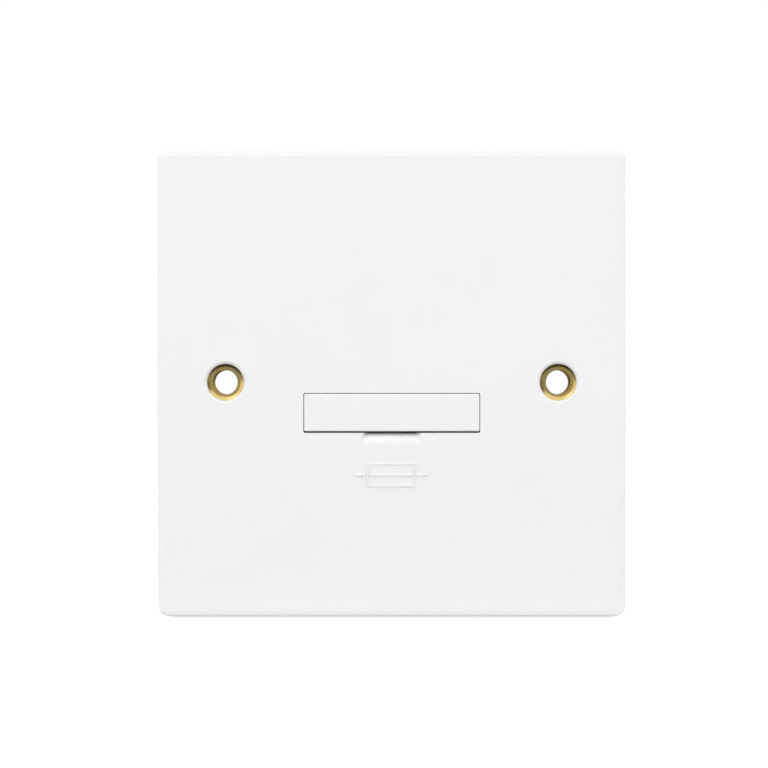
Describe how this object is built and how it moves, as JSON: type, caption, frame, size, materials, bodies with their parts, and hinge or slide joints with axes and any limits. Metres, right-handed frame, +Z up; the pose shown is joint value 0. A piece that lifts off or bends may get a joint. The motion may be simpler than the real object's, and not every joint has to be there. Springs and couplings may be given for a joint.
{
  "type": "fused spur unit",
  "caption": "Square moulded wall plate with brass-eyeleted fixing holes, a slide-out cartridge fuse carrier and a rear base of screw terminals, for feeding one fixed appliance.",
  "frame": {"origin": "on the wall plane, midway between the fixing holes", "axes": "+X to the right seen from the front, +Y into the wall, +Z up; the front face looks along -Y"},
  "size_m": [0.086, 0.0244, 0.086],
  "materials": {
    "white_moulding": "fine satin gloss",
    "base_moulding": "matt moulded",
    "brass": "bright drawn brass",
    "spring_bronze": "rolled strip",
    "plated_steel": "zinc plated",
    "fuse_ceramic": "glazed ceramic",
    "fuse_caps": "nickel plated"
  },
  "bodies": {
    "plate": {"front_plate": "white_moulding", "rear_base": "base_moulding", "eyelet_left": "brass", "eyelet_right": "brass", "line_supply_terminal": "brass", "line_load_terminal": "brass", "neutral_bar": "brass", "earth_bar": "brass", "line_supply_clip": "spring_bronze", "line_load_clip": "spring_bronze", "earth_strap": "brass", "base_screws": "plated_steel"},
    "carrier": {"fuse_carrier": "white_moulding", "fuse_tube": "fuse_ceramic", "fuse_cap_left": "fuse_caps", "fuse_cap_right": "fuse_caps", "fuse_element": "plated_steel"},
    "line_supply_screw": {"line_supply_screw": "plated_steel"},
    "line_load_screw": {"line_load_screw": "plated_steel"},
    "neutral_supply_screw": {"neutral_supply_screw": "plated_steel"},
    "neutral_load_screw": {"neutral_load_screw": "plated_steel"},
    "earth_supply_screw": {"earth_supply_screw": "plated_steel"},
    "earth_load_screw": {"earth_load_screw": "plated_steel"}
  },
  "joints": [
    {"name": "fuse_carrier_slide", "type": "slide", "parent": "plate", "child": "carrier", "axis": [0, -1, 0], "range_m": [0, 0.0095]},
    {"name": "line_supply_screw_travel", "type": "slide", "parent": "plate", "child": "line_supply_screw", "axis": [0, -1, 0], "range_m": [0, 0.0036]},
    {"name": "line_load_screw_travel", "type": "slide", "parent": "plate", "child": "line_load_screw", "axis": [0, -1, 0], "range_m": [0, 0.0036]},
    {"name": "neutral_supply_screw_travel", "type": "slide", "parent": "plate", "child": "neutral_supply_screw", "axis": [0, -1, 0], "range_m": [0, 0.0036]},
    {"name": "neutral_load_screw_travel", "type": "slide", "parent": "plate", "child": "neutral_load_screw", "axis": [0, -1, 0], "range_m": [0, 0.0036]},
    {"name": "earth_supply_screw_travel", "type": "slide", "parent": "plate", "child": "earth_supply_screw", "axis": [0, -1, 0], "range_m": [0, 0.0036]},
    {"name": "earth_load_screw_travel", "type": "slide", "parent": "plate", "child": "earth_load_screw", "axis": [0, -1, 0], "range_m": [0, 0.0036]}
  ]
}
